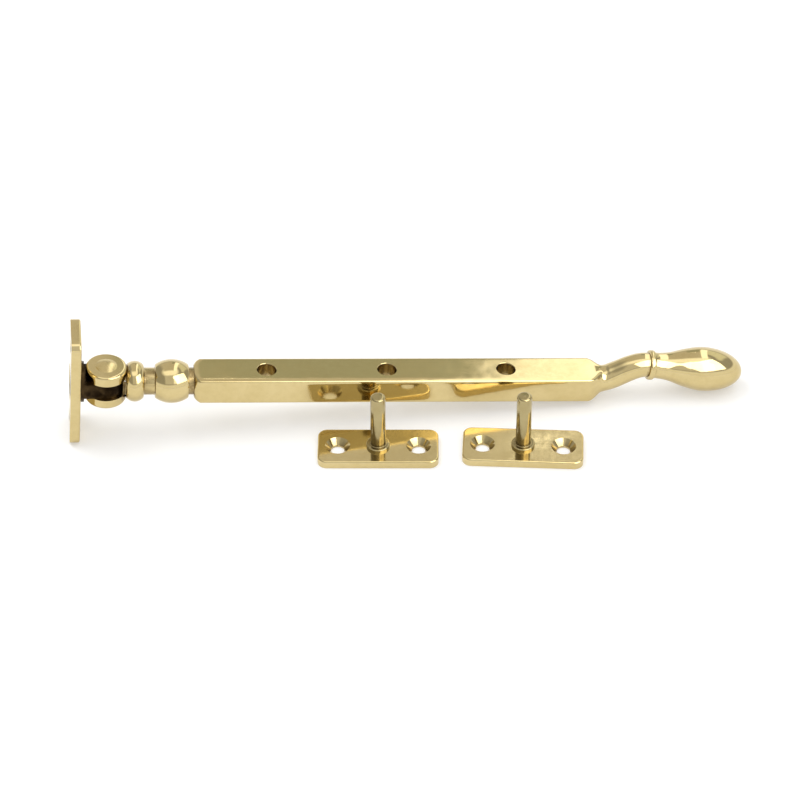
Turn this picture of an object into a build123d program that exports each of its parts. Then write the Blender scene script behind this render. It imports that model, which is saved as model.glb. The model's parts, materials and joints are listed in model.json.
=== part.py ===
from build123d import *
from math import acos, asin, atan2, cos, degrees, hypot, radians, sin
import os

# A bulb-end casement stay, the arm that holds a hinged window open, with its two peg plates.
# The backplate is screwed to the opening sash. A swivel turns in it about the plate's normal,
# and the arm hinges on the swivel about a rivet that is parallel to the peg holes. Each peg
# plate is screwed to the window frame, and a hole of the bar drops over its peg.
#
# The stay lies on a level surface: it stands on the foot of its backplate and on the belly of
# its bulb, so the arm slopes down towards the bulb. The pegs stand loose beside it.
# Origin: centre of the backplate's fixing face. +X runs towards the bulb and +Z is up.

# ---- Arm ----
reach = 203.2                 # pivot to the tip of the bulb: an 8 inch stay
bar_width = 12.0
bar_thickness = 9.0
bar_edge = 0.9                # rounding along the bar's four long edges
shoulder_turn = 2.0           # the square bar's first shoulder is turned to a cone this long

peg_hole_radius = 3.0
peg_hole_pitch = 38.1         # 1 1/2 inch
last_hole_inset = 26.5        # from the heel of the bar back to the last peg hole
first_hole_land = 9.0         # least plain bar before the first peg hole

# ---- Fork, ring and bead at the pivot end of the arm ----
fork_wall = 1.1               # from the tongue's round end to the fork's outside
ear_thickness = 3.4
fork_rim = 1.2                # rounding of the fork's two rims
slot_height = 5.6
slot_web = 0.3                # bottom of the slot to the start of the ring
waist_radius = 4.3            # turned waists between the swellings
ring_length = 5.4
ring_radius = 6.45
ring_flank = 5.2              # radius where the ring's rounding starts
middle_waist = 3.6            # between the ring and the bead
bead_length = 10.4
bead_radius = 6.95
bead_flank = 5.3
bar_waist = 1.7               # between the bead and the bar's shoulder

# ---- Swan neck, collar and bulb ----
heel_taper = 5.0              # length over which the square bar tapers to the neck
taper_side = 0.45             # how far the taper's end stands out of the neck at each side
taper_top = 0.15              # the same, above and below
taper_flat = 0.6              # flat left on each side of the taper's end
taper_rise = 0.5              # height of the neck's start above the bar's centre line
neck_length = 14.2
neck_rise = 6.0               # height of the collar above the bar's centre line
neck_step = 0.25              # how far the neck's start lies inside the bar, above and below
neck_end_radius = 3.9
neck_start_slope = 0.22
droop = 5.4                   # the bulb's axis points this many degrees below the bar's
collar_length = 1.9
collar_radius = 4.8
collar_edge = 0.5
bulb_length = 29.3            # collar to tip, along the bulb's axis
bulb_crown = 12.9             # tip back to the bulb's greatest diameter
bulb_radius = 7.1
bulb_root_radius = 4.1
bulb_waist = (4.6, 4.5)       # distance from the collar, and radius there
bulb_swell = (10.0, 6.05)

# ---- Backplate and swivel ----
backplate_length = 40.0
backplate_width = 16.0
backplate_thickness = 3.2
spindle_radius = 3.0
spindle_step = 0.7            # the spindle's shoulder, against which the washer is closed
peened_lip = 1.6              # how far the peened end spreads over the washer
peened_height = 0.8
washer_lip = 1.3              # how far the washer reaches past the peened end
washer_thickness = 0.7
flange_lip = 0.4              # how far the flange reaches past the tongue's corners
flange_thickness = 1.0
tongue_radius = 5.4
rivet_radius = 2.3
rivet_head_lip = 1.1
rivet_head_height = 0.6

# ---- Peg plates and pegs ----
peg_plate_length = 38.0
peg_plate_width = 16.0
peg_plate_thickness = 2.6
peg_height = 20.0             # top of the plate to the top of the peg
peg_crown = 1.1               # rounding of the peg's top edge
peg_foot_lip = 1.3
peg_foot_height = 1.0
peg_foot_edge = 0.4
peg_tail_step = 0.5           # the shoulder under the peg's foot
peg_peened_lip = 1.0
left_peg_x = 83.4             # pivot to the left peg, along X
left_peg_gap = 6.6            # side of the bar to the middle of the plate's edge
right_peg_gap = 11.2
plates_gap = 7.2              # between the two plates, along X
left_peg_turn = -6.2          # degrees, seen from above
right_peg_turn = -9.0

# ---- All three plates ----
plate_corner = 3.0
plate_edge = 0.6              # rounding around the front face
screw_inset = 6.3             # end of the plate to the middle of a screw hole
screw_hole_radius = 2.1
screw_head_radius = 3.9
screw_head_angle = 90

# ---- Clearances ----
turning_fit = 0.05            # radial, for the rivet in the tongue and the spindle in its bore
turning_float = 0.1           # along the axis, on each side of a part that turns
pocket_gap = 0.6              # around the washer in the backplate's pocket
pocket_cover = 0.2            # the peened end stays this far inside the backplate's rear face
fork_gap = 0.4                # between the fork and the flange as the arm swings
tongue_gap = 0.6              # between the tongue and the bottom of the slot
peg_fit = 0.6                 # radial, for a peg in its hole

# ---- Sizes that follow from the fits ----
tongue_thickness = slot_height - 2 * turning_float
fork_radius = tongue_radius + fork_wall
fork_height = slot_height + 2 * ear_thickness
slot_depth = tongue_radius + tongue_gap
ring_start = slot_depth + slot_web
bead_start = ring_start + ring_length + middle_waist
bar_start = bead_start + bead_length + bar_waist
neck_start_radius = bar_thickness / 2 - neck_step
peg_radius = peg_hole_radius - peg_fit
peg_foot_radius = peg_radius + peg_foot_lip
peg_tail_radius = peg_radius - peg_tail_step
peg_peened_radius = peg_tail_radius + peg_peened_lip
rivet_head_radius = rivet_radius + rivet_head_lip
tail_radius = spindle_radius - spindle_step
peened_radius = tail_radius + peened_lip
washer_radius = peened_radius + washer_lip
recess_radius = washer_radius + pocket_gap
recess_depth = turning_float + washer_thickness + peened_height + pocket_cover
flange_radius = hypot(tongue_radius, tongue_thickness / 2) + flange_lip
pivot_gap = fork_radius + fork_gap + flange_thickness + turning_float

# ---- How the arm's length is shared out ----
head_run = (collar_length + bulb_length) * cos(radians(droop))
bar_end = reach - head_run - neck_length - heel_taper
last_hole = bar_end - last_hole_inset
hole_run = last_hole - bar_start - first_hole_land
hole_count = int(hole_run // peg_hole_pitch) + 1
peg_holes = [last_hole - peg_hole_pitch * (hole_count - 1 - i) for i in range(hole_count)]

# ---- How the stay rests ----
# The backplate stands on its rounded front edge. At the other end the bulb's belly meets the
# surface, or the heel of the bar if that hangs lower: whichever comes first as the arm sinks.
# Each slope makes the height of the foot equal the height of that support.
foot_run = -pivot_gap - plate_edge
foot_rise = plate_edge - backplate_length / 2
heel_run = bar_end - foot_run
heel_drop = -foot_rise - bar_thickness / 2
heel_slope = atan2(heel_drop, heel_run) + asin(plate_edge / hypot(heel_run, heel_drop))
crown_reach = collar_length + bulb_length - bulb_crown
crown_run = bar_end + heel_taper + neck_length + crown_reach * cos(radians(droop)) - foot_run
crown_drop = neck_rise - crown_reach * sin(radians(droop)) - foot_rise
bulb_slope = heel_slope
for _ in range(8):
    tilt = radians(droop) + bulb_slope
    belly = hypot(bulb_radius * cos(tilt), bulb_crown * sin(tilt))
    bulb_slope = (acos((belly - plate_edge) / hypot(crown_run, crown_drop))
                  - atan2(crown_run, crown_drop))
slope = min(heel_slope, bulb_slope)
along = Vector(cos(slope), 0, -sin(slope))
upright = Vector(sin(slope), 0, cos(slope))
stay = Plane(along * (backplate_thickness + pivot_gap), x_dir=along, z_dir=upright)
lengthwise = Plane(stay.origin, x_dir=along, z_dir=(0, -1, 0))
table = stay.origin.Z + (foot_rise * upright + foot_run * along).Z - plate_edge


def across(run, rise=0):
    """Plane square to the arm: local X is +Y, local Y is the direction of the peg holes."""
    return Plane(stay.from_local_coords((run, 0, rise)), x_dir=(0, 1, 0), z_dir=along)


def level(rise):
    """Plane parallel to the bar's top face: local X runs along the arm from the pivot."""
    return stay.offset(rise)


def screw_plate(back, length, width, thickness):
    """Plate with a rounded front rim and a countersunk screw hole near each end."""
    front = back.offset(thickness)
    with BuildPart() as plate:
        with BuildSketch(back):
            RectangleRounded(length, width, plate_corner)
        extrude(amount=thickness)
        rim = plate.faces().sort_by(Axis(back.origin, back.z_dir))[-1].edges()
        fillet(rim, plate_edge)
        with Locations(front):
            with GridLocations(length - 2 * screw_inset, 0, 2, 1):
                CounterSinkHole(screw_hole_radius, screw_head_radius,
                                counter_sink_angle=screw_head_angle)
    return plate.part


# ---- Stay arm: one casting, its fork, ring and bead turned, its bar drilled for the pegs ----
with BuildPart() as stay_arm:
    # Square bar, with a turned cone at its first shoulder.
    with BuildSketch(across(bar_start)):
        RectangleRounded(bar_width, bar_thickness, bar_edge)
    extrude(amount=bar_end - bar_start)
    half_diagonal = hypot(bar_width, bar_thickness) / 2
    with BuildSketch(lengthwise):
        with BuildLine():
            Polyline((bar_start, 0), (bar_start, half_diagonal - shoulder_turn),
                     (bar_start + shoulder_turn, half_diagonal),
                     (bar_end, half_diagonal), (bar_end, 0), close=True)
        make_face()
    revolve(axis=Axis(stay.origin, along), mode=Mode.INTERSECT)
    with Locations(level(bar_thickness / 2)):
        with Locations([(hole, 0) for hole in peg_holes]):
            Hole(peg_hole_radius)

    # Heel: the bar tapers from its square section to a nearly round one.
    with BuildSketch(across(bar_end)):
        RectangleRounded(bar_width, bar_thickness, bar_edge)
    taper_half = neck_start_radius + taper_top
    with BuildSketch(across(bar_end + heel_taper, taper_rise)):
        RectangleRounded(2 * (neck_start_radius + taper_side), 2 * taper_half,
                         taper_half - taper_flat / 2)
    loft()

    # Swan neck: round sections along a curve that ends in line with the drooping bulb.
    neck_start = (bar_end + heel_taper, taper_rise)
    neck_end = (bar_end + heel_taper + neck_length, neck_rise)
    leaving = along + upright * neck_start_slope
    arriving = along * cos(radians(droop)) - upright * sin(radians(droop))
    with BuildLine(lengthwise) as neck_line:
        Spline(neck_start, neck_end, tangents=[leaving, arriving])
    neck_sections = 7
    for i in range(neck_sections):
        t = i / (neck_sections - 1)
        centre = neck_line.line @ t
        heading = neck_line.line % t if i else along
        with BuildSketch(Plane(centre, x_dir=(0, 1, 0), z_dir=heading)):
            Circle(neck_start_radius + (neck_end_radius - neck_start_radius) * t)
    loft()

    # Collar and bulb, turned about the bulb's own axis.
    bulb = Plane(neck_line.line @ 1, x_dir=neck_line.line % 1, z_dir=(0, -1, 0))
    tip = collar_length + bulb_length
    crown = tip - bulb_crown
    with BuildSketch(bulb):
        with BuildLine():
            Polyline((tip, 0), (0, 0), (0, collar_radius - collar_edge),
                     (collar_edge, collar_radius), (collar_length - collar_edge, collar_radius),
                     (collar_length, collar_radius - collar_edge), (collar_length, bulb_root_radius))
            Spline((collar_length, bulb_root_radius),
                   (collar_length + bulb_waist[0], bulb_waist[1]),
                   (collar_length + bulb_swell[0], bulb_swell[1]),
                   (crown, bulb_radius), tangents=[(1, 0), (1, 0)])
            EllipticalCenterArc((crown, 0), bulb_crown, bulb_radius, 0, arc_size=90)
        make_face()
    revolve(axis=Axis(bulb.origin, bulb.x_dir))

    # Turned waist with its ring and bead, from inside the fork to the bar's shoulder.
    with BuildSketch(lengthwise):
        with BuildLine():
            Polyline((bar_start, waist_radius), (bar_start, 0), (fork_radius / 2, 0),
                     (fork_radius / 2, waist_radius), (ring_start, waist_radius),
                     (ring_start, ring_flank))
            ThreePointArc((ring_start, ring_flank), (ring_start + ring_length / 2, ring_radius),
                          (ring_start + ring_length, ring_flank))
            Polyline((ring_start + ring_length, ring_flank),
                     (ring_start + ring_length, waist_radius), (bead_start, waist_radius),
                     (bead_start, bead_flank))
            ThreePointArc((bead_start, bead_flank), (bead_start + bead_length / 2, bead_radius),
                          (bead_start + bead_length, bead_flank))
            Polyline((bead_start + bead_length, bead_flank),
                     (bead_start + bead_length, waist_radius), (bar_start, waist_radius))
        make_face()
    revolve(axis=Axis(stay.origin, along))

    # Fork: a drum about the rivet with rounded rims, slotted for the swivel's tongue.
    with BuildSketch(lengthwise):
        with BuildLine():
            drum = Polyline((0, -fork_height / 2), (fork_radius, -fork_height / 2),
                            (fork_radius, fork_height / 2), (0, fork_height / 2), close=True)
        make_face()
        fillet(drum.vertices().filter_by(lambda corner: corner.X > 0.5), fork_rim)
    revolve(axis=Axis(stay.origin, upright))
    with BuildSketch(level(-slot_height / 2)):
        with Locations((slot_depth - (slot_depth + 2 * fork_radius) / 2, 0)):
            Rectangle(slot_depth + 2 * fork_radius, 3 * fork_radius)
    extrude(amount=slot_height, mode=Mode.SUBTRACT)
    with Locations(level(fork_height / 2)):
        Hole(rivet_radius)

# ---- Backplate: bored for the spindle, with a pocket behind for its peened end ----
backplate_rear = Plane(stay.from_local_coords((-pivot_gap - backplate_thickness, 0, 0)),
                       x_dir=upright, z_dir=along)
with BuildPart() as backplate:
    add(screw_plate(backplate_rear, backplate_length, backplate_width, backplate_thickness))
    with Locations(backplate_rear):
        Hole(spindle_radius + turning_fit)
    with BuildSketch(backplate_rear):
        Circle(recess_radius)
    extrude(amount=recess_depth, mode=Mode.SUBTRACT)

# ---- Swivel: flat tongue, flange, spindle and stepped tail, peened over the washer ----
flange_rear = -pivot_gap + turning_float
flange_front = flange_rear + flange_thickness
washer_front = -pivot_gap - backplate_thickness + recess_depth - turning_float
washer_rear = washer_front - washer_thickness
peened_rear = washer_rear - peened_height
with BuildPart() as swivel:
    with BuildSketch(lengthwise):
        with BuildLine():
            Polyline((washer_rear, peened_radius), (washer_rear, tail_radius),
                     (washer_front, tail_radius), (washer_front, spindle_radius),
                     (flange_rear, spindle_radius), (flange_rear, flange_radius),
                     (flange_front, flange_radius), (flange_front, 0), (peened_rear, 0),
                     (peened_rear, tail_radius), (washer_rear, peened_radius))
        make_face()
    revolve(axis=Axis(stay.origin, along))
    with BuildSketch(level(-tongue_thickness / 2)):
        Circle(tongue_radius)
        with Locations((flange_rear / 2, 0)):
            Rectangle(-flange_rear, 2 * tongue_radius)
    extrude(amount=tongue_thickness)
    with Locations(level(tongue_thickness / 2)):
        Hole(rivet_radius + turning_fit)

# ---- Swivel washer: under the peened tail, in the backplate's pocket ----
with BuildPart() as swivel_washer:
    with BuildSketch(across(washer_rear)):
        Circle(washer_radius)
        Circle(tail_radius, mode=Mode.SUBTRACT)
    extrude(amount=washer_thickness)

# ---- Pivot rivet: a plain shank with a low dome closed over each ear of the fork ----
with BuildPart() as pivot_rivet:
    ear = fork_height / 2
    crest = ear + rivet_head_height
    dome_radius = (rivet_head_radius ** 2 + rivet_head_height ** 2) / (2 * rivet_head_height)
    dome_angle = degrees(asin(rivet_head_radius / dome_radius))
    with BuildSketch(lengthwise):
        with BuildLine():
            JernArc((0, crest), (1, 0), dome_radius, -dome_angle)
            Polyline((rivet_head_radius, ear), (rivet_radius, ear), (rivet_radius, -ear),
                     (rivet_head_radius, -ear))
            JernArc((0, -crest), (1, 0), dome_radius, dome_angle)
            Line((0, -crest), (0, crest))
        make_face()
    revolve(axis=Axis(stay.origin, upright))


# ---- Peg plates and pegs: two alike, each peg riveted through its plate ----
def peg_base(x, gap, turn):
    """Plane under a peg plate, on the level surface, under the middle of its peg."""
    y = -(bar_width / 2 + gap + peg_plate_width / 2)
    return Plane((stay.origin.X + x, y, table), z_dir=(0, 0, 1)).rotated((0, 0, turn))


def peg_plate(base):
    """Screw plate with a hole for the peg's tail, countersunk from below."""
    with BuildPart() as plate:
        add(screw_plate(base, peg_plate_length, peg_plate_width, peg_plate_thickness))
        with Locations(Plane(base.origin, x_dir=base.x_dir, z_dir=-base.z_dir)):
            CounterSinkHole(peg_tail_radius, peg_peened_radius,
                            counter_sink_angle=screw_head_angle)
    return plate.part


def peg(base):
    """Round peg with a rounded top, a small foot on the plate and a tail peened flush below."""
    plate_top = peg_plate_thickness
    foot_top = plate_top + peg_foot_height
    peg_top = plate_top + peg_height
    flare = peg_peened_radius - peg_tail_radius
    upright_side = Plane(base.origin, x_dir=base.x_dir, z_dir=-base.y_dir)
    crown_middle = peg_crown * cos(radians(45))
    with BuildPart() as pin:
        with BuildSketch(upright_side):
            with BuildLine():
                Polyline((peg_radius - peg_crown, peg_top), (0, peg_top), (0, 0),
                         (peg_peened_radius, 0), (peg_tail_radius, flare),
                         (peg_tail_radius, plate_top), (peg_foot_radius, plate_top),
                         (peg_foot_radius, foot_top - peg_foot_edge),
                         (peg_foot_radius - peg_foot_edge, foot_top), (peg_radius, foot_top),
                         (peg_radius, peg_top - peg_crown))
                ThreePointArc((peg_radius, peg_top - peg_crown),
                              (peg_radius - peg_crown + crown_middle,
                               peg_top - peg_crown + crown_middle),
                              (peg_radius - peg_crown, peg_top))
            make_face()
        revolve(axis=Axis(base.origin, base.z_dir))
    return pin.part


right_peg_x = left_peg_x + peg_plate_length + plates_gap
left_base = peg_base(left_peg_x, left_peg_gap, left_peg_turn)
right_base = peg_base(right_peg_x, right_peg_gap, right_peg_turn)

pieces = {
    "backplate": backplate.part,
    "swivel": swivel.part,
    "swivel_washer": swivel_washer.part,
    "pivot_rivet": pivot_rivet.part,
    "stay_arm": stay_arm.part,
    "left_peg_plate": peg_plate(left_base),
    "left_peg": peg(left_base),
    "right_peg_plate": peg_plate(right_base),
    "right_peg": peg(right_base),
}
os.makedirs("parts", exist_ok=True)
for label, piece in pieces.items():
    piece.label = label
    export_step(piece, f"parts/{label}.step")
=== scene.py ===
# %% [markdown]
# # A casement stay in polished brass
# The stay is the arm that holds a hinged window open. The packed model already has every piece
# at its real size and place, so this script never moves anything. It makes finer meshes for the
# pieces that show, gives each of them a brass finish, and lights the set on a pale table.
# We begin by loading that model as a fixed frame.

# %% Load the frame
import json
import math
import bmesh
import bpy
import numpy as np
from mathutils import Matrix, Vector
from mathutils.bvhtree import BVHTree


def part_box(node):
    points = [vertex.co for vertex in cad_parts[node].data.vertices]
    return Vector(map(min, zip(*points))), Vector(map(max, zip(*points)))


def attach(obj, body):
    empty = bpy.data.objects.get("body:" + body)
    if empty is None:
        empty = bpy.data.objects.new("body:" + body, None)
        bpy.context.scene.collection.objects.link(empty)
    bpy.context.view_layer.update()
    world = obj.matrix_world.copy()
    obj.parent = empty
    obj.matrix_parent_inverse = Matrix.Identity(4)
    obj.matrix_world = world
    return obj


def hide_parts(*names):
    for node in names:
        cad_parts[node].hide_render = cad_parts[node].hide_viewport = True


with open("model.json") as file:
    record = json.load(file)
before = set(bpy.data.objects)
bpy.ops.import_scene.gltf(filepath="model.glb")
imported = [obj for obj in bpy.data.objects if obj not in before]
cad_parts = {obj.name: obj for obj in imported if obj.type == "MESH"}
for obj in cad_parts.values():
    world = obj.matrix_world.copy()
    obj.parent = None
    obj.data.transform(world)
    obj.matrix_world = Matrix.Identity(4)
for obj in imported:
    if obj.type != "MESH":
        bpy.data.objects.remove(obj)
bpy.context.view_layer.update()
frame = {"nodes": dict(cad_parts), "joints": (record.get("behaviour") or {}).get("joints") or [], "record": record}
joints = {joint["name"]: joint for joint in frame["joints"]}
mounts = {mount["name"]: mount for mount in frame["record"]["mounts"]}
print("nodes:", sorted(frame["nodes"]))

# %% [markdown]
# The stay slopes a little, because it rests on the foot of its backplate and the belly of its bulb.
# It is far easier to draw it lying straight and to turn the finished mesh once. So we keep a
# matrix for each piece that carries millimetres in the piece's own axes into metres in the frame.
# The two hinge axes give the stay's directions, and the mounts of the screw holes give where each
# plate lies.

# %% The pieces' own axes
MM = 0.001


def own_axes(origin, x, y, z):
    """Matrix from millimetres in a piece's own axes to metres in the frame."""
    turn = Matrix((x, y, z)).transposed().to_4x4()
    return Matrix.Translation(origin) @ turn @ Matrix.Scale(MM, 4)


pivot = Vector(joints["arm_swing"]["pos_m"])
along = Vector(joints["swivel_turn"]["axis"])
upright = Vector(joints["arm_swing"]["axis"])
across = upright.cross(along)
stay_axes = own_axes(pivot, along, across, upright)
rivet_axes = own_axes(pivot, across, -along, upright)
table_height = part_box("left_peg_plate")[0].z
print("the arm slopes by", round(math.degrees(math.asin(-along.z)), 2), "degrees")

# %% [markdown]
# Every finish here is brass, so the shader maths is nearly the same for each. Written out node by
# node it would be long and hard to read. One small class wraps a socket and overloads the usual
# operators, and one method makes any other node. After that a material reads like arithmetic.


# %% A socket that does arithmetic
class Wire:
    """A shader socket: +, - and * add Math nodes, and make() adds any other node."""

    def __init__(self, tree, socket):
        self.tree = tree
        self.socket = socket

    def make(self, kind, out=0, inputs=None, **settings):
        node = self.tree.nodes.new(kind)
        for name, value in settings.items():
            setattr(node, name, value)
        for key, value in (inputs or {}).items():
            if isinstance(value, Wire):
                self.tree.links.new(value.socket, node.inputs[key])
            else:
                node.inputs[key].default_value = value
        return Wire(self.tree, node.outputs[out])

    def math(self, operation, first, second):
        return self.make("ShaderNodeMath", operation=operation, inputs={0: first, 1: second})

    def __add__(self, other):
        return self.math("ADD", self, other)

    def __radd__(self, other):
        return self.math("ADD", other, self)

    def __sub__(self, other):
        return self.math("SUBTRACT", self, other)

    def __rsub__(self, other):
        return self.math("SUBTRACT", other, self)

    def __mul__(self, other):
        return self.math("MULTIPLY", self, other)

    def __rmul__(self, other):
        return self.math("MULTIPLY", other, self)

    def band(self, low, high, start=0.0, end=1.0):
        """Runs smoothly from start to end as this value goes from low to high."""
        return self.make("ShaderNodeMapRange", interpolation_type="SMOOTHSTEP", clamp=True,
                         inputs={0: self, 1: low, 2: high, 3: start, 4: end})

    def stretched(self, scale):
        """This vector, scaled along each of its axes."""
        return self.make("ShaderNodeVectorMath", operation="MULTIPLY",
                         inputs={0: self, 1: scale})

    def noise(self, scale, detail=3.0, roughness=0.55):
        """Noise over this vector, from 0 to 1."""
        return self.make("ShaderNodeTexNoise", noise_dimensions="3D",
                         inputs={"Vector": self, "Scale": scale, "Detail": detail,
                                 "Roughness": roughness})

    def mixed(self, colour_a, colour_b):
        """Colour a where this mask is 0, colour b where it is 1."""
        return self.make("ShaderNodeMix", out=2, data_type="RGBA",
                         inputs={0: self, 6: colour_a, 7: colour_b})


print("a wire can:", [name for name in vars(Wire) if not name.startswith("_")])

# %% [markdown]
# Polished brass is almost all reflection, so what makes it look real is how the reflection is
# disturbed. There are the fine parallel lines that the last buffing wheel left, and a soft haze
# that comes and goes. In the grooves and the slot the colour turns dark brown, which is partly
# tarnish and partly painted shade. Two attributes carry what the shader needs. `own_mm` is where a
# point is in the piece's own axes, so the lines follow the piece whatever way it lies. `shelter`
# says how enclosed a point is, and so where that painted shade and tarnish go.


# %% Brass
TARNISH_AND_SHADE_TINT = (0.26, 0.19, 0.12)      # what tarnish and painted shade leave of the deep colour's red, green, blue
RELIEF_DEPTH = 0.02 * MM
COAT_ROUGHNESS = 0.06


def brass(name, light, deep, buffed, roughness, coat=0.0, tarnish_and_shade=0.9, from_object=None):
    """Brass with buffing lines, haze, and tarnish with painted shade in its grooves.

    light and deep are the two ends of its colour, and buffed scales the piece's own axes, so
    that a small number runs the lines along that axis. from_object gives the turn into the
    piece's own axes for a mesh that has no own_mm."""
    material = bpy.data.materials.new(name)
    material.use_nodes = True
    tree = material.node_tree
    shader = tree.nodes["Principled BSDF"]
    start = Wire(tree, None)
    if from_object is None:
        place = start.make("ShaderNodeAttribute", out="Vector", attribute_name="own_mm")
        shelter = start.make("ShaderNodeAttribute", out="Fac", attribute_name="shelter")
    else:
        seen = start.make("ShaderNodeTexCoord", out="Object")
        back = from_object.inverted()
        place = start.make("ShaderNodeMapping", inputs={
            "Vector": seen, "Location": back.to_translation(),
            "Rotation": back.to_euler(), "Scale": back.to_scale()})
        shelter = place.noise(0.12).band(0.35, 0.75)

    clouds = place.noise(0.09, detail=4.0).band(0.3, 0.7)
    mottle = place.noise(0.55, detail=5.0, roughness=0.62).band(0.35, 0.7)
    lines = place.stretched(buffed).noise(1.0, detail=6.0, roughness=0.7)
    specks = place.noise(2.6, detail=2.0).band(0.66, 0.74)
    # Sheltered points turn dark brown here. This is partly tarnish and partly painted shade in the grooves and the
    # slot.
    tarnish_and_shade_mask = shelter.band(0.12, 0.55) * (0.7 + 0.3 * mottle)

    body = (clouds * 0.35 + mottle * 0.25).mixed((*light, 1), (*deep, 1))
    tarnish_and_shade_brown = [channel * tint for channel, tint in zip(deep, TARNISH_AND_SHADE_TINT)]
    aged_and_shaded = (tarnish_and_shade_mask * tarnish_and_shade).mixed(body, (*tarnish_and_shade_brown, 1))
    tree.links.new(aged_and_shaded.socket, shader.inputs["Base Color"])

    haze = roughness * (0.7 + 0.5 * clouds + 0.3 * mottle) + 0.06 * (lines - 0.45)
    dull = haze + 0.22 * tarnish_and_shade * tarnish_and_shade_mask + 0.05 * specks
    tree.links.new(dull.socket, shader.inputs["Roughness"])

    waves = place.noise(0.16, detail=1.0)
    relief = lines * 0.35 + mottle * 0.10 + waves * 5.0
    bump = start.make("ShaderNodeBump", inputs={
        "Strength": 0.25, "Distance": RELIEF_DEPTH, "Height": relief})
    tree.links.new(bump.socket, shader.inputs["Normal"])
    shader.inputs["Metallic"].default_value = 1.0
    shader.inputs["Coat Weight"].default_value = coat
    shader.inputs["Coat Roughness"].default_value = COAT_ROUGHNESS
    return material


LIGHT_BRASS = (0.66, 0.535, 0.265)
DEEP_BRASS = (0.55, 0.425, 0.18)
arm_brass = brass("arm_brass", LIGHT_BRASS, DEEP_BRASS, (0.03, 1.6, 1.6), 0.07, coat=0.25)
plate_brass = brass("plate_brass", LIGHT_BRASS, DEEP_BRASS, (0.05, 1.8, 1.8), 0.10, coat=0.25)
# The pegs' brass is the arm's brass made darker: painted shade for the shadowed plates and table that they mirror.
peg_brass = brass("peg_brass", (0.44, 0.36, 0.18), (0.34, 0.265, 0.11), (0.5, 0.5, 5.0), 0.12,
                  coat=0.15)
rivet_brass = brass("rivet_brass", LIGHT_BRASS, DEEP_BRASS, (1.2, 1.2, 1.2), 0.20, tarnish_and_shade=0.4)
# The swivel's colours are nearly black: painted shade for the dark gap between the backplate and the fork.
swivel_brass = brass("swivel_brass", (0.06, 0.038, 0.016), (0.03, 0.018, 0.008), (4.0, 0.4, 0.4),
                     0.30, from_object=stay_axes)
washer_brass = brass("washer_brass", (0.60, 0.47, 0.23), (0.42, 0.31, 0.13), (0.8, 0.8, 0.8),
                     0.34, from_object=stay_axes)
finishes = (arm_brass, plate_brass, peg_brass, rivet_brass, swivel_brass, washer_brass)
print("finishes:", [finish.name for finish in finishes])

# %% [markdown]
# Most of a stay is turned on a lathe: the ring and bead, the bulb, the pegs, even the drum of the
# fork. A lathe needs only a profile, so each is a short list of points, and real turning leaves
# no sharp corner, so each corner gets a small radius. This helper rounds them.


# %% Profiles with rounded corners
def rounded(points, steps=4):
    """The profile (distance, radius, rounding) as (distance, radius) with each corner an arc."""
    out = []
    for i, point in enumerate(points):
        here = Vector(point[:2])
        size = point[2] if len(point) > 2 else 0
        if size == 0 or i in (0, len(points) - 1):
            out.append(here)
            continue
        before = Vector(points[i - 1][:2]) - here
        after = Vector(points[i + 1][:2]) - here
        turn = before.angle(after)
        cut = min(size / math.tan(turn / 2), 0.45 * before.length, 0.45 * after.length)
        first = here + before.normalized() * cut
        last = here + after.normalized() * cut
        for k in range(steps + 1):
            t = k / steps
            out.append((1 - t) ** 2 * first + 2 * t * (1 - t) * here + t * t * last)
    return out


def swelling(start, end, flank, crest, steps=14):
    """A bead's profile: an arc from flank up to crest and back, between start and end."""
    middle = (start + end) / 2
    half = (end - start) / 2
    rise = crest - flank
    radius = (half * half + rise * rise) / (2 * rise)
    widest = math.asin(half / radius)
    angles = [widest * (2 * k / steps - 1) for k in range(steps + 1)]
    return [(middle + radius * math.sin(a), crest - radius * (1 - math.cos(a))) for a in angles]


print("a rounded corner has", len(rounded([(0, 1), (1, 1, 0.2), (1, 2)])) - 2, "points")

# %% [markdown]
# The lathe itself is a Geometry Nodes tree. It takes a curve along the axis whose points carry
# the radius of the work there, sweeps a circle along it, closes the two ends and sets the
# material. A second tree repeats the turned shape in a row, which gives us drills: the peg holes
# are one row with the bar's own pitch, and the screw holes of each plate are another.


# %% The lathe and the row of drills
def group_input(tree, name, kind, default=None):
    socket = tree.interface.new_socket(name=name, in_out="INPUT", socket_type=kind)
    if default is not None:
        socket.default_value = default
    return socket.identifier


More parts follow.
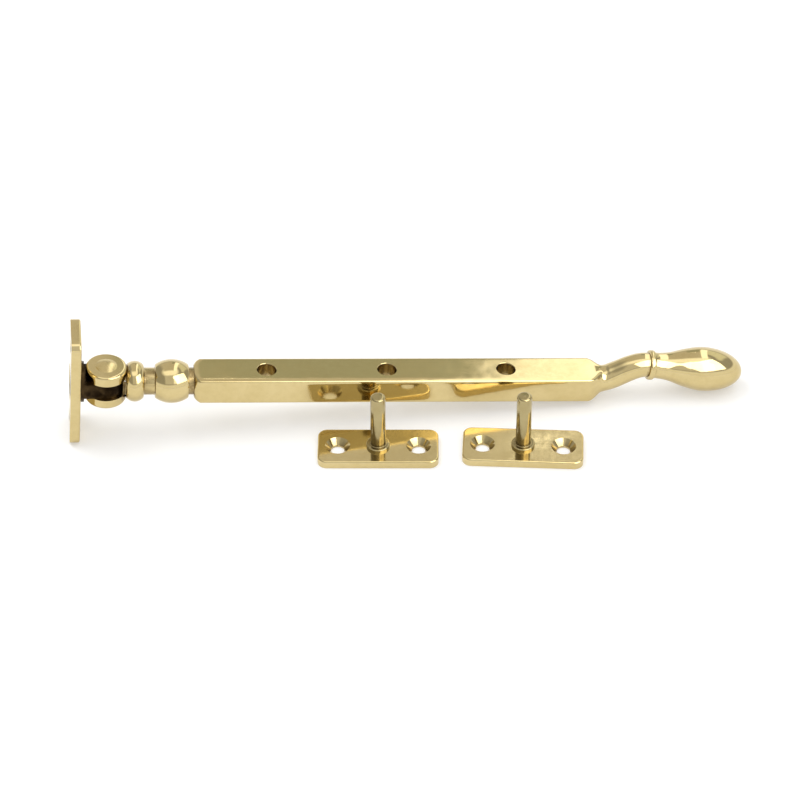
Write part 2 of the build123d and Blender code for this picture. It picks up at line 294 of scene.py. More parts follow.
def lathe_tree():
    """Geometry Nodes: turned work from a curve, repeated Count times at Pitch along X."""
    tree = bpy.data.node_groups.new("turned_row", "GeometryNodeTree")
    ids = {"Geometry": group_input(tree, "Geometry", "NodeSocketGeometry"),
           "Segments": group_input(tree, "Segments", "NodeSocketInt", 96),
           "Count": group_input(tree, "Count", "NodeSocketInt", 1),
           "Pitch": group_input(tree, "Pitch", "NodeSocketFloat", 0.0),
           "Material": group_input(tree, "Material", "NodeSocketMaterial")}
    tree.interface.new_socket(name="Geometry", in_out="OUTPUT", socket_type="NodeSocketGeometry")
    new = tree.nodes.new
    source, sink = new("NodeGroupInput"), new("NodeGroupOutput")
    circle, sweep = new("GeometryNodeCurvePrimitiveCircle"), new("GeometryNodeCurveToMesh")
    row, offset = new("GeometryNodeMeshLine"), new("ShaderNodeCombineXYZ")
    copies, real = new("GeometryNodeInstanceOnPoints"), new("GeometryNodeRealizeInstances")
    work_radius, finish = new("GeometryNodeInputRadius"), new("GeometryNodeSetMaterial")
    circle.inputs["Radius"].default_value = 1.0
    sweep.inputs["Fill Caps"].default_value = True
    row.mode = "OFFSET"
    for a, b in ((source.outputs["Segments"], circle.inputs["Resolution"]),
                 (source.outputs["Geometry"], sweep.inputs["Curve"]),
                 (circle.outputs["Curve"], sweep.inputs["Profile Curve"]),
                 (work_radius.outputs["Radius"], sweep.inputs["Scale"]),
                 (source.outputs["Count"], row.inputs["Count"]),
                 (source.outputs["Pitch"], offset.inputs["X"]),
                 (offset.outputs["Vector"], row.inputs["Offset"]),
                 (row.outputs["Mesh"], copies.inputs["Points"]),
                 (sweep.outputs["Mesh"], copies.inputs["Instance"]),
                 (copies.outputs["Instances"], real.inputs["Geometry"]),
                 (real.outputs["Geometry"], finish.inputs["Geometry"]),
                 (source.outputs["Material"], finish.inputs["Material"]),
                 (finish.outputs["Geometry"], sink.inputs["Geometry"])):
        tree.links.new(a, b)
    return tree, ids


LATHE, LATHE_INPUTS = lathe_tree()
LEAST_RADIUS = 0.004                   # millimetres; keeps the ring at a pole from collapsing
WELD_DISTANCE = 0.0005                 # points nearer to each other than this become one


def turned(name, profile, axis, start=(0, 0, 0), segments=96, count=1, pitch=0.0, material=None):
    """A lathe-turned mesh in its own millimetres. The profile's distances run along axis."""
    axis, start = Vector(axis), Vector(start)
    curve = bpy.data.curves.new(name, "CURVE")
    curve.dimensions = "3D"
    spline = curve.splines.new("POLY")
    spline.points.add(len(profile) - 1)
    for point, (distance, radius) in zip(spline.points, profile):
        point.co = (*(start + axis * distance), 1)
        point.radius = max(radius, LEAST_RADIUS)
    work = bpy.data.objects.new(name, curve)
    bpy.context.scene.collection.objects.link(work)
    lathe = work.modifiers.new("lathe", "NODES")
    lathe.node_group = LATHE
    for key, value in {"Segments": segments, "Count": count, "Pitch": pitch,
                       "Material": material}.items():
        lathe[LATHE_INPUTS[key]] = value
    graph = bpy.context.evaluated_depsgraph_get()
    mesh = bpy.data.meshes.new_from_object(work.evaluated_get(graph))
    bpy.data.objects.remove(work)
    bpy.data.curves.remove(curve)
    return clean(mesh)


def clean(mesh):
    """Welds doubled points and turns every face outwards."""
    work = bmesh.new()
    work.from_mesh(mesh)
    bmesh.ops.remove_doubles(work, verts=work.verts, dist=WELD_DISTANCE)
    bmesh.ops.recalc_face_normals(work, faces=work.faces)
    work.to_mesh(mesh)
    work.free()
    return mesh


print("the lathe takes:", list(LATHE_INPUTS))

# %% [markdown]
# The square bar can't be turned, and the neck changes from square to round. Both are one long
# sweep of closed sections. A superellipse is a handy section for this: with exponent 2 it is an
# ellipse, and with a high one it is a rectangle with rounded corners and faces that are crowned a
# little, just as buffing leaves them. So a single formula carries the arm from round to square and
# back.


# %% Sweeping sections
def section(centre, tilt, half_width, half_height, exponent, count=96):
    """One closed section, square to a direction that rises by tilt radians in the XZ plane."""
    points = []
    for k in range(count):
        angle = 2 * math.pi * (k + 0.5) / count
        c, s = math.cos(angle), math.sin(angle)
        y = math.copysign(abs(c) ** (2 / exponent), c) * half_width
        z = math.copysign(abs(s) ** (2 / exponent), s) * half_height
        points.append(Vector((centre[0] - z * math.sin(tilt), y, centre[1] + z * math.cos(tilt))))
    return points


def skin(name, sections):
    """A closed mesh through the sections."""
    work = bmesh.new()
    loops = [[work.verts.new(point) for point in ring] for ring in sections]
    for a, b in zip(loops, loops[1:]):
        for k in range(len(a)):
            j = (k + 1) % len(a)
            work.faces.new((a[k], a[j], b[j], b[k]))
    work.faces.new(loops[0][::-1])
    work.faces.new(loops[-1])
    mesh = bpy.data.meshes.new(name)
    work.to_mesh(mesh)
    work.free()
    return clean(mesh)


print("a section has", len(section((0, 0), 0, 1, 1, 2)), "points")

# %% [markdown]
# Pieces are joined and drilled with exact Booleans. Each finished mesh then goes through the same
# bench: it stores where each point is in the piece's own axes, measures how sheltered each point
# is with a fan of short rays, moves into the frame, and is shaded smooth with its flat faces kept
# flat by weighted normals.


# %% Booleans and the finishing bench
def cut_or_join(mesh, tool, operation):
    """The mesh after an exact Boolean with the tool mesh."""
    body, other = (bpy.data.objects.new("work", m) for m in (mesh, tool))
    for thing in (body, other):
        bpy.context.scene.collection.objects.link(thing)
    change = body.modifiers.new("change", "BOOLEAN")
    change.operation, change.object, change.solver = operation, other, "EXACT"
    graph = bpy.context.evaluated_depsgraph_get()
    result = bpy.data.meshes.new_from_object(body.evaluated_get(graph))
    for thing in (body, other):
        bpy.data.objects.remove(thing)
    return clean(result)


def fan(count=28):
    """Directions spread evenly over a sphere."""
    golden = math.pi * (3 - math.sqrt(5))
    heights = [1 - 2 * (k + 0.5) / count for k in range(count)]
    return [Vector((math.sqrt(1 - h * h) * math.cos(golden * k),
                    math.sqrt(1 - h * h) * math.sin(golden * k), h))
            for k, h in enumerate(heights)]


FAN = fan()
LEAST_RISE = 0.15                      # rays nearer to the surface than this are left out
LIFT = 0.02                            # how far off the surface a ray starts
CREASE = math.radians(38)
print("rays in the fan:", len(FAN))


def shelter_of(mesh, reach=6.5):
    """How enclosed each point is: the share of short rays from it that meet the piece again."""
    tree = BVHTree.FromPolygons([v.co for v in mesh.vertices],
                                [p.vertices for p in mesh.polygons])
    shares = []
    for vertex in mesh.vertices:
        outward = vertex.normal
        rays = [ray for ray in FAN if ray.dot(outward) > LEAST_RISE]
        start = vertex.co + outward * LIFT
        met = sum(tree.ray_cast(start, ray, reach)[0] is not None for ray in rays)
        shares.append(met / len(rays))
    return shares


def finish_piece(name, mesh, axes, body, node, material):
    """Turns a mesh in its own millimetres into a finished piece that rides on its body."""
    for key, kind, values, field in (
            ("own_mm", "FLOAT_VECTOR", [c for v in mesh.vertices for c in v.co], "vector"),
            ("shelter", "FLOAT", shelter_of(mesh), "value")):
        attribute = mesh.attributes.new(key, kind, "POINT")
        attribute.data.foreach_set(field, values)
    mesh.transform(axes)
    mesh.materials.clear()
    mesh.materials.append(material)
    mesh.polygons.foreach_set("use_smooth", [True] * len(mesh.polygons))
    mesh.set_sharp_from_angle(angle=CREASE)
    piece = bpy.data.objects.new(name, mesh)
    bpy.context.scene.collection.objects.link(piece)
    even = piece.modifiers.new("even_normals", "WEIGHTED_NORMAL")
    even.keep_sharp = True
    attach(piece, body)
    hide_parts(node)
    print(name, len(mesh.vertices), "points,", len(mesh.polygons), "faces")


# %% [markdown]
# ## The arm
# On the real stay the arm is one casting. From the pivot outwards it has a turned waist, a ring, a
# bead, the square bar, a heel where the bar draws in, the swan neck, a collar and the bulb. We list
# their sizes first, in millimetres from the pivot.

# %% Sizes of the arm
BAR_HALF = (6.0, 4.5)                  # half its width and half its thickness
BAR_START, BAR_END = 27.4, 152.94
SQUARE = 13.0                          # exponent of the bar's section
WAIST = 4.3
RING = (6.3, 11.7, 5.2, 6.45)          # start, end, radius at its flank and at its crest
BEAD = (15.3, 25.7, 5.3, 6.95)
HEEL_END, HEEL_RISE = 157.94, 0.5
HEEL_HALF, HEEL_EXPONENT = (4.3, 4.27), 2.05   # the heel's last section, nearly round
NECK_END, NECK_RISE = 172.14, 6.0
NECK_RADII = (4.25, 3.9)
NECK_LEAVES = 0.22                     # its slope as it leaves the heel
DROOP = math.radians(5.4)
COLLAR = (1.9, 4.8)                    # length and radius
BULB_TIP, BULB_CROWN, BULB_RADIUS = 31.19, 12.9, 7.1
BULB_ROOT = 4.1
BULB_SWELL = ((1.9, BULB_ROOT), (6.5, 4.5), (11.9, 6.05), (18.3, BULB_RADIUS))
print("the bar is", round(BAR_END - BAR_START, 2), "mm long")

# %% [markdown]
# The waist, ring and bead come from one rounded profile. A waist is hard to polish, so its corners
# stay tight, while the ring and bead are smooth arcs.


# %% Turned end of the arm
def turned_end():
    """Sections of the waist with its ring and bead."""
    ring, bead = swelling(*RING), swelling(*BEAD)
    profile = [(3.25, WAIST), (RING[0], WAIST, 0.25), (ring[0][0], ring[0][1], 0.2), *ring[1:-1],
               (ring[-1][0], ring[-1][1], 0.2), (RING[1], WAIST, 0.5), (BEAD[0], WAIST, 0.5),
               (bead[0][0], bead[0][1], 0.2), *bead[1:-1], (bead[-1][0], bead[-1][1], 0.2),
               (BEAD[1], WAIST, 0.25), (BAR_START, WAIST, 0.15)]
    return [section((x, 0), 0, r, r, 2) for x, r in rounded(profile)]


print("turned end:", len(turned_end()), "sections")

# %% [markdown]
# The bar starts at a turned shoulder, so its section grows from nearly round to square over two
# millimetres. It ends in a heel that draws in smoothly to the neck while its section turns round
# again, so width, height and exponent all follow the same easing.


# %% Square bar and heel
def square_bar():
    width, height = BAR_HALF
    shoulder = [(0.0, 5.0, 4.35, 2.6), (0.25, 5.25, 4.44, 3.4), (1.0, 5.75, 4.49, 6.0),
                (2.0, width, height, SQUARE)]
    sections = [section((BAR_START + x, 0), 0, a, b, n) for x, a, b, n in shoulder]
    spans = 16
    first, last = BAR_START + 3.0, BAR_END - 0.25
    sections += [section((first + (last - first) * k / spans, 0), 0, width, height, SQUARE)
                 for k in range(spans + 1)]
    taper = 24
    for k in range(1, taper + 1):
        t = k / taper
        ease = t * t * (3 - 2 * t)
        sections.append(section((BAR_END + (HEEL_END - BAR_END) * t, HEEL_RISE * t * t), 0,
                                width + (HEEL_HALF[0] - width) * ease,
                                height + (HEEL_HALF[1] - height) * ease,
                                SQUARE ** (1 - ease) * HEEL_EXPONENT ** ease))
    return sections


print("square bar and heel:", len(square_bar()), "sections")

# %% [markdown]
# The neck follows a smooth curve from the heel up to the collar. A cubic with a direction at each
# end is all it needs, and each section is set square to the curve.


# %% Swan neck
def neck_point(t):
    """Point and direction on the neck's curve, t from 0 to 1."""
    start, end = Vector((HEEL_END, HEEL_RISE)), Vector((NECK_END, NECK_RISE))
    pull = (end - start).length
    leave = Vector((1, NECK_LEAVES)).normalized() * pull
    arrive = Vector((math.cos(DROOP), -math.sin(DROOP))) * pull
    point = ((2 * t**3 - 3 * t**2 + 1) * start + (t**3 - 2 * t**2 + t) * leave
             + (3 * t**2 - 2 * t**3) * end + (t**3 - t**2) * arrive)
    slope = ((6 * t**2 - 6 * t) * (start - end) + (3 * t**2 - 4 * t + 1) * leave
             + (3 * t**2 - 2 * t) * arrive)
    return point, math.atan2(slope.y, slope.x)


def swan_neck(steps=26):
    sections = []
    for k in range(steps + 1):
        t = k / steps
        point, rise = neck_point(t)
        upstand = rise * min(1.0, t * 4)
        radius = NECK_RADII[0] + (NECK_RADII[1] - NECK_RADII[0]) * t
        sections.append(section(point, upstand, radius, radius, 2))
    return sections[1:-1]


steepest = max(neck_point(k / 20)[1] for k in range(21))
print("the neck rises at most", round(math.degrees(steepest), 1), "degrees")

# %% [markdown]
# The bulb is what the hand takes hold of. It swells from a slim root to its crown and closes with
# half an ellipse, so it needs many rings near the tip to stay smooth.


# %% Collar and bulb
def bulb_profile(swell_steps=8, crown_steps=26):
    """The collar, the swell and the closing crown as (distance, radius)."""
    length, radius = COLLAR
    collar = [(0.0, NECK_RADII[1]), (0.0, radius - 0.5), (0.12, radius - 0.18), (0.5, radius),
              (length - 0.5, radius), (length - 0.12, radius - 0.18), (length, radius - 0.5),
              (length + 0.05, BULB_ROOT + 0.1)]
    distances, radii = zip(*BULB_SWELL)
    slopes = np.gradient(radii, distances)
    slopes[0], slopes[-1] = 0.02, 0.0
    swell = []
    for i in range(len(radii) - 1):
        span = distances[i + 1] - distances[i]
        for k in range(swell_steps):
            t = (k + 0.5) / swell_steps
            blend = (1 + 2 * t) * (1 - t) ** 2 * radii[i] + t * t * (3 - 2 * t) * radii[i + 1]
            blend += span * (t * (1 - t) ** 2 * slopes[i] - t * t * (1 - t) * slopes[i + 1])
            swell.append((distances[i] + t * span, blend))
    crown = BULB_TIP - BULB_CROWN
    closing = [(crown + BULB_CROWN * math.sin(a), BULB_RADIUS * math.cos(a))
               for a in (math.pi / 2 * k / crown_steps for k in range(crown_steps))]
    return collar + swell[1:] + closing + [(BULB_TIP - 0.001, 0.12)]


def collar_and_bulb():
    root = Vector((NECK_END, NECK_RISE))
    line = Vector((math.cos(DROOP), -math.sin(DROOP)))
    return [section(root + line * s, -DROOP, r, r, 2) for s, r in bulb_profile()]


print("collar and bulb:", len(collar_and_bulb()), "sections")

# %% [markdown]
# The fork is a drum about the rivet. It is joined to the arm, and then a flat slot is sawn through
# it for the swivel's tongue. The sawn edges are eased with a narrow bevel, because a sharp edge
# would show no highlight.

# %% Fork and slot
FORK = (6.5, 6.2, 1.2)                 # radius, half height and rim
SLOT_HALF, SLOT_DEPTH = 2.8, 6.0
SAW_PAST, SAW_WIDTH = 10, 30           # how far the saw runs past the pivot, and its width
RIM_END, RIM_GAP = 4.6, 0.05           # how far along the rim goes, and how near the drum's side
RIM_CREASE = math.radians(35)
print("slot:", 2 * SLOT_HALF, "mm wide")


def fork_drum():
    radius, half, rim = FORK
    profile = [(-half, 0), (-half, radius, rim), (half, radius, rim), (half, 0)]
    return turned("drum", rounded(profile, steps=8), (0, 0, 1))


def slot_tool():
    work = bmesh.new()
    bmesh.ops.create_cube(work, size=1.0)
    depth = SLOT_DEPTH + SAW_PAST
    move = Matrix.Translation((SLOT_DEPTH - depth / 2, 0, 0))
    work.transform(move @ Matrix.Diagonal((depth, SAW_WIDTH, 2 * SLOT_HALF, 1)))
    mesh = bpy.data.meshes.new("slot")
    work.to_mesh(mesh)
    work.free()
    return mesh


def on_slot_rim(point):
    """True for a point where the slot breaks out of the drum's round side."""
    return (abs(abs(point.z) - SLOT_HALF) < 0.01 and point.x < RIM_END
            and math.hypot(point.x, point.y) > FORK[0] - RIM_GAP)


def ease_slot(mesh, width=0.14):
    """Bevels the rim of the slot."""
    work = bmesh.new()
    work.from_mesh(mesh)
    sharp = [edge for edge in work.edges if all(on_slot_rim(vert.co) for vert in edge.verts)
             and edge.calc_face_angle(0) > RIM_CREASE]
    bmesh.ops.bevel(work, geom=sharp, offset=width, segments=3, profile=0.5, affect="EDGES",
                    clamp_overlap=True)
    work.to_mesh(mesh)
    work.free()
    print("slot edges eased:", len(sharp))
    return mesh


# %% [markdown]
# The peg holes are what the stay is for: the bar drops over a peg through one of them. They could
# be drilled one by one, but the lathe's row makes all the drills at once, at the pitch that the
# mounts give. Each drill flares at both faces, so each hole gets the soft lip that a countersink
# leaves.

# %% Peg holes
PEG_HOLE_LIP = 0.18
peg_holes = [mounts[name] for name in sorted(mounts) if name.startswith("peg_hole_")]
hole_radius = peg_holes[0]["dims"]["r_mm"]
hole_runs = [(Vector(hole["pos_m"]) - pivot).dot(along) / MM for hole in peg_holes]
hole_pitch = (hole_runs[-1] - hole_runs[0]) / (len(hole_runs) - 1)
print("peg holes at", [round(run, 2) for run in hole_runs], "mm from the pivot")


def drill(radius, top, bottom, lip):
    """Profile of a through drill that flares into a soft lip at both faces."""
    return rounded([(bottom - 3, radius + lip + 1.5), (bottom - 0.02, radius + lip, 0.1),
                    (bottom + lip, radius, 0.8), (top - lip, radius, 0.8),
                    (top + 0.02, radius + lip, 0.1), (top + 3, radius + lip + 1.5)])


def polished_arm():
    mesh = skin("polished_arm", turned_end() + square_bar() + swan_neck() + collar_and_bulb())
    mesh = cut_or_join(mesh, fork_drum(), "UNION")
    mesh = ease_slot(cut_or_join(mesh, slot_tool(), "DIFFERENCE"))
    height = BAR_HALF[1]
    drills = turned("drills", drill(hole_radius, height, -height, PEG_HOLE_LIP), (0, 0, 1),
                    (hole_runs[0], 0, 0), 72, len(peg_holes), hole_pitch)
    return cut_or_join(mesh, drills, "DIFFERENCE")


finish_piece("polished_arm", polished_arm(), stay_axes, "arm", "stay_arm",
             arm_brass)

# %% [markdown]
# ## The plates
# All three plates are the same kind of pressing: rounded corners, a front rim that is rounded over,
# and two countersunk screw holes. Only their length and thickness differ, so those have their own
# lines here.

# %% Sizes of the plates
PLATE_WIDTH, PLATE_CORNER, PLATE_RIM = 16.0, 3.0, 0.6
BACKPLATE = (40.0, 3.2)                # length and thickness
PEG_PLATE = (38.0, 2.6)
PLATE_BACK_EDGE = 0.15                 # how much the back's edge is broken
OUTLINE_INSET = 0.005                  # keeps the plate just inside its CAD box
SCREW_HEAD = 3.9
print("backplate", BACKPLATE, "and peg plates", PEG_PLATE, "mm")

# %% [markdown]
# A bevelled cube would be quicker to make, but the rim and the corners need different radii. So
# the outline is drawn once as a ring of points and drawn in towards the top, and a skin goes over
# the rings. The two countersinks are turned tools from the same lathe as the peg-hole drills.


# %% A pressed plate
def outline(length, shrink, height, corner_steps=10):
    """A plate's outline, drawn in by shrink, at a height."""
    radius = PLATE_CORNER - shrink
    points = []
    for quarter in range(4):
        sign_x = 1 if quarter in (0, 3) else -1
        sign_y = 1 if quarter < 2 else -1
        for k in range(corner_steps + 1):
            angle = math.pi / 2 * (quarter + k / corner_steps)
            points.append(Vector((
                sign_x * (length / 2 - PLATE_CORNER) + radius * math.cos(angle),
                sign_y * (PLATE_WIDTH / 2 - PLATE_CORNER) + radius * math.sin(angle), height)))
    return points


def pressed_plate(name, size, screws):
    """A plate with a rounded front rim and countersunk screw holes, its back at height 0."""
    length, thickness = size
    rim, soft, rim_steps = PLATE_RIM, PLATE_BACK_EDGE, 6
    rings = [outline(length, soft, 0.0), outline(length, soft * 0.3, soft * 0.3),
             outline(length, OUTLINE_INSET, soft)]
    for k in range(rim_steps + 1):
        angle = math.pi / 2 * k / rim_steps
        rings.append(outline(length, OUTLINE_INSET + rim * (1 - math.cos(angle)),
                             thickness - rim + rim * math.sin(angle)))
    mesh = skin(name, rings)
    radius, spacing = screws["hole_r_mm"], screws["pcd_mm"]
    cone = SCREW_HEAD - radius
    profile = rounded([(-3, radius + 0.3), (-0.02, radius + 0.15, 0.1), (0.15, radius),
                       (thickness - cone, radius, 0.2), (thickness + 0.02, SCREW_HEAD + 0.02, 0.4),
                       (thickness + 2, SCREW_HEAD + 1.2)])
    tool = turned("countersinks", profile, (0, 0, 1), (-spacing / 2, 0, 0), 64, 2, spacing)
    return cut_or_join(mesh, tool, "DIFFERENCE")


print("a plate's outline has", len(outline(PEG_PLATE[0], 0.0, 0.0)), "points")

# %% [markdown]
# The backplate screws to the window and the swivel turns in it. So it is the same pressing with
# two more cuts: a bore for the swivel's spindle, and a pocket behind for the washer and the
# peened end. One stepped tool makes both, as a counterbore would.

# %% Backplate
POCKET = (5.8, 1.8)                    # radius and depth of the pocket behind
SPINDLE_BORE = 3.05


def bored_backplate():
    mesh = pressed_plate("bored_backplate", BACKPLATE, mounts["backplate_screws"]["dims"])
    front = BACKPLATE[1]
    radius, depth = POCKET
    profile = rounded([(-2, radius + 1.2), (-0.02, radius + 0.15, 0.1), (0.15, radius, 0.1),
                       (depth, radius, 0.15), (depth, SPINDLE_BORE, 0.1),
                       (front - 0.1, SPINDLE_BORE), (front + 2, SPINDLE_BORE + 1)])
    tool = turned("pocket", profile, (0, 0, 1), segments=72)
    return cut_or_join(mesh, tool, "DIFFERENCE")


backplate_axes = own_axes(Vector(mounts["backplate_screws"]["pos_m"]), upright, across * -1, along)
finish_piece("bored_backplate", bored_backplate(), backplate_axes, "backplate", "backplate",
             plate_brass)

# %% [markdown]
# ## Pegs
# Each peg is turned with a small foot, and its tail goes through the plate and is peened flush
# underneath. The two plates lie at slightly different angles, so each has its own turn about the
# upright. The lathe makes both pegs from one profile.

# %% Peg plates and pegs
PEG = (2.4, 22.6, 1.1)                 # radius, height over the table and rounding of its top
PEG_FOOT = (3.7, 1.0, 0.4)             # radius, height and edge
PEG_TAIL, PEG_PEENED = 1.9, 2.9
PEG_TURNS = {"left": -6.2, "right": -9.0}


def drilled_peg_plate(name, screws):
    mesh = pressed_plate(name, PEG_PLATE, screws)
    flare = PEG_PEENED - PEG_TAIL
    profile = [(-1, PEG_PEENED + 1), (0, PEG_PEENED), (flare, PEG_TAIL),
               (PEG_PLATE[1] + 1, PEG_TAIL)]
    return cut_or_join(mesh, turned("tail_hole", profile, (0, 0, 1), segments=64), "DIFFERENCE")


def turned_peg(name):
    radius, top, crown = PEG
    foot_radius, foot_height, edge = PEG_FOOT
    base = PEG_PLATE[1]
    profile = [(0, 0), (0, PEG_PEENED), (PEG_PEENED - PEG_TAIL, PEG_TAIL), (base, PEG_TAIL),
               (base, foot_radius), (base + foot_height, foot_radius, edge),
               (base + foot_height, radius, 0.3), (top, radius, crown), (top, 0)]
    return turned(name, rounded(profile, steps=7), (0, 0, 1), segments=64)


for side, turn in PEG_TURNS.items():
    screw_holes = mounts[f"{side}_peg_plate_screws"]
    spot = Vector(screw_holes["pos_m"])
    way = Matrix.Rotation(math.radians(turn), 3, "Z")
    peg_axes = own_axes(spot, way @ Vector((1, 0, 0)), way @ Vector((0, 1, 0)), Vector((0, 0, 1)))
    set_body = f"{side}_peg_set"
    finish_piece(f"{side}_drilled_plate", drilled_peg_plate(f"{side}_plate", screw_holes["dims"]),
                 peg_axes, set_body, f"{side}_peg_plate", plate_brass)
    finish_piece(f"{side}_turned_peg", turned_peg(f"{side}_peg"), peg_axes, set_body,
                 f"{side}_peg", peg_brass)

# %% [markdown]
# ## Rivet, swivel and washer
# The rivet's two low domes are all that shows of it. The swivel and its washer keep their CAD
# meshes, whose shape is right, and only take finishes of their own. No cloth reaches the washer,
# so it is dull. The swivel's brass is painted nearly black, as painted shade for the dark gap
# between the backplate and the fork.

# %% Rivet, swivel and washer
RIVET = (2.3, 3.4, 0.6)                # shank radius, head radius and dome height


def domed_rivet():
    shank, head, dome = RIVET
    ear = FORK[1]
    ball = (head * head + dome * dome) / (2 * dome)
    widest = math.asin(head / ball)
    cap = [(ear + dome - ball * (1 - math.cos(a)), ball * math.sin(a))
           for a in (widest * k / 10 for k in range(11))]
    upper = [(ear, shank), *reversed(cap)]
    lower = [(-height, radius) for height, radius in reversed(upper)]
    return turned("domed_rivet", lower + upper, (0, 0, 1), segments=72)


finish_piece("domed_rivet", domed_rivet(), rivet_axes, "arm", "pivot_rivet",
             rivet_brass)
for node, material in (("swivel", swivel_brass), ("swivel_washer", washer_brass)):
    mesh = frame["nodes"][node].data
    mesh.materials.clear()
    mesh.materials.append(material)

# %% [markdown]
# ## Table, light and camera
# Polished metal shows its surroundings, so the light is mostly a matter of what the brass can see.
# The set lies on pale paper. A plain white one would carry heavy shadows, so this paper also gives
# off a little light, as it does on a light table, and its shadows stay soft and pale.

# %% Table
TABLE_REACH = 4.0                      # metres from the middle to each side
PAPER_GLOW = 0.32
corners = [(x * TABLE_REACH, y * TABLE_REACH, table_height)
           for x, y in ((-1, -1), (1, -1), (1, 1), (-1, 1))]
table_mesh = bpy.data.meshes.new("table")
table_mesh.from_pydata(corners, [], [(0, 1, 2, 3)])
table = bpy.data.objects.new("table", table_mesh)
bpy.context.scene.collection.objects.link(table)
paper = bpy.data.materials.new("white_paper")
paper.use_nodes = True
paper_shader = paper.node_tree.nodes["Principled BSDF"]
grain = Wire(paper.node_tree, None).make("ShaderNodeTexCoord", out="Object").noise(300.0)
tone = grain.mixed((0.70, 0.70, 0.70, 1), (0.73, 0.73, 0.727, 1))
paper.node_tree.links.new(tone.socket, paper_shader.inputs["Base Color"])
paper_shader.inputs["Emission Color"].default_value = (1.0, 1.0, 1.0, 1)
paper_shader.inputs["Emission Strength"].default_value = PAPER_GLOW
paper_shader.inputs["Roughness"].default_value = 0.9
paper_shader.inputs["Specular IOR Level"].default_value = 0.1
table_mesh.materials.append(paper)
print("table at", round(table_height / MM, 2), "mm")

# %% [markdown]
# The room is what the brass mirrors. It could be built from real walls and cards, but the world's
# shader can paint them by direction, which adds no meshes and hides nothing from another side. The
# room is dim, and brighter near the horizon and straight overhead. In front stands a wall with a
# brighter card on its right. Behind stand, from left to right, a tan wall with an olive one in it
# and a small window above that, then a bright window and a far wall. The bar's flat top mirrors
# what stands behind, so it runs from olive to bright.


# %% Room
def grey(value):
    return (value, value, value * 1.01, 1)


world = bpy.data.worlds.new("room")
bpy.context.scene.world = world
world.use_nodes = True
sky = Wire(world.node_tree, None)
direction = sky.make("ShaderNodeTexCoord", out="Generated")
parts = world.node_tree.nodes.new("ShaderNodeSeparateXYZ")
world.node_tree.links.new(direction.socket, parts.inputs[0])
to_right, to_back, to_top = (Wire(world.node_tree, parts.outputs[i]) for i in range(3))

behind = to_back.band(0.0, 0.2)
ahead = to_back.band(-0.45, -0.25, 1, 0)
above = to_top.band(0.30, 0.42)
horizon = to_top.band(0.24, 0.34, 1, 0)
olive_wall = (behind * above * to_top.band(0.630, 0.642, 1, 0)
              * to_right.band(0.085, 0.115) * to_right.band(0.212, 0.223, 1, 0))
far_wall = (behind * above * to_top.band(0.72, 0.80, 1, 0)
            * to_right.band(0.36, 0.42) * to_right.band(0.70, 0.78, 1, 0))
tan_wall = behind * above * to_right.band(-0.5, -0.3) * to_right.band(0.212, 0.228, 1, 0)
window = behind * above * to_right.band(0.213, 0.228) * to_right.band(0.36, 0.42, 1, 0)
small_window = (behind * to_right.band(0.120, 0.126) * to_right.band(0.140, 0.146, 1, 0)
                * to_top.band(0.648, 0.652) * to_top.band(0.658, 0.662, 1, 0))
front_wall = ahead * above * to_top.band(0.92, 0.97, 1, 0) * to_right.band(-0.45, -0.35)
front_right = front_wall * to_right.band(0.16, 0.22) * to_right.band(0.50, 0.60, 1, 0)

zenith = to_top.band(0.82, 0.94)
room_tone = horizon.mixed(grey(0.46), grey(1.10))
cards = ((zenith, grey(1.60)), (front_wall, grey(0.80)), (front_right, grey(1.60)),
         (tan_wall, (0.76, 0.73, 0.68, 1)), (window, grey(2.00)),
         (olive_wall, (0.50, 0.52, 0.44, 1)), (far_wall, (0.98, 1.00, 0.90, 1)),
         (small_window, grey(3.2)))
for mask, tone in cards:
    room_tone = mask.mixed(room_tone, tone)
background = world.node_tree.nodes["Background"]
world.node_tree.links.new(room_tone.socket, background.inputs["Color"])
background.inputs["Strength"].default_value = 1.0
print("cards in the room:", len(cards))

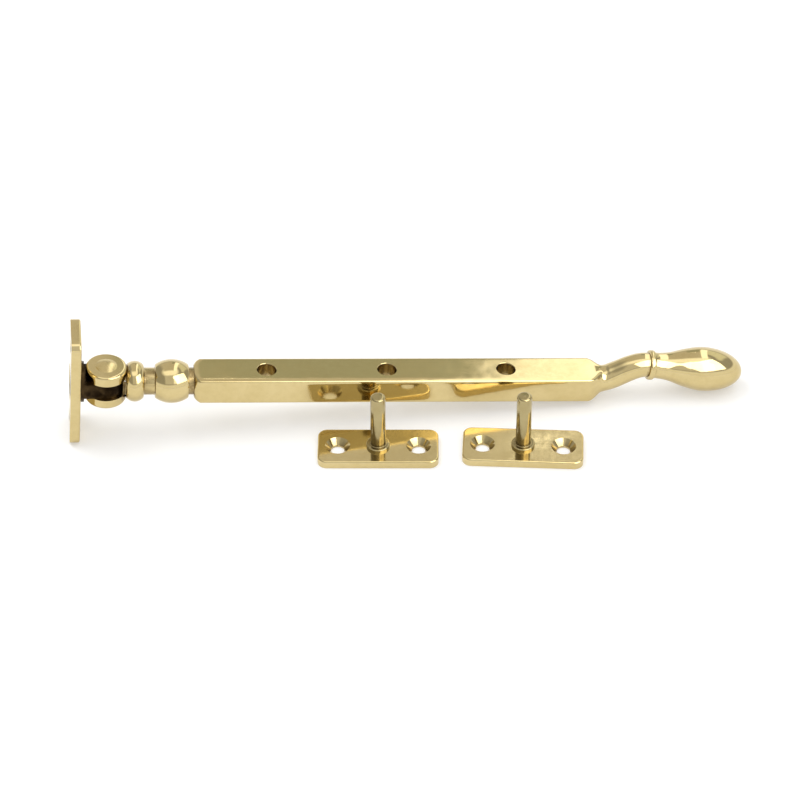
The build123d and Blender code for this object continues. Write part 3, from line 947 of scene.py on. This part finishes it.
# %% [markdown]
# Two soft panels add what the room can't: shadows with a direction, and a bright patch on the
# bulb. A panel is easy to aim, but it does both things at once. So the overhead panel lights the
# paper without being mirrored, and the handle's panel is mirrored without lighting the paper.


# %% Lights
def panel(name, place, aim, size, power):
    """A soft panel light aimed at a point."""
    lamp = bpy.data.lights.new(name, "AREA")
    lamp.shape = "RECTANGLE"
    lamp.size, lamp.size_y = size
    lamp.energy = power
    light = bpy.data.objects.new(name, lamp)
    light.location = place
    light.rotation_euler = (Vector(aim) - Vector(place)).to_track_quat("-Z", "Y").to_euler()
    bpy.context.scene.collection.objects.link(light)
    light.visible_camera = False
    return light


middle = pivot + along * 0.1
overhead_panel = panel("overhead_panel", middle + Vector((-0.50, 0.28, 1.00)), middle,
                       (0.60, 0.60), 4.5)
overhead_panel.visible_glossy = False
handle = pivot + along * 0.190
handle_panel = panel("handle_panel", handle + Vector((0.12, -0.19, 0.26)), handle, (0.40, 0.32),
                     1.1)
handle_panel.visible_diffuse = False
print("panels:", overhead_panel.name, handle_panel.name)

# %% [markdown]
# A wide lens close by would make the nearest pieces look too big, so the lens is long and stands
# well back. The camera looks down by forty degrees, which shows the bar's top and its front at
# once, and it aims near the middle of the set. The Standard view transform leaves the pale table
# white.

# %% Camera
CAMERA_RISE, CAMERA_TURN = math.radians(40), math.radians(-6.2)
CAMERA_REACH = 0.951
AIM_FROM_PIVOT = Vector((0.0921, -0.004, -0.0127))
aim = pivot + AIM_FROM_PIVOT
back = Vector((math.sin(CAMERA_TURN) * math.cos(CAMERA_RISE),
               -math.cos(CAMERA_TURN) * math.cos(CAMERA_RISE), math.sin(CAMERA_RISE)))
lens = bpy.data.cameras.new("camera")
lens.lens = 135.0
lens.sensor_width = 36.0
camera = bpy.data.objects.new("camera", lens)
camera.location = aim + back * CAMERA_REACH
camera.rotation_euler = (-back).to_track_quat("-Z", "Y").to_euler()
bpy.context.scene.collection.objects.link(camera)
bpy.context.scene.camera = camera
bpy.context.scene.view_settings.view_transform = "Standard"
print("camera", CAMERA_REACH, "m away with a lens of", lens.lens, "mm")

# %% [markdown]
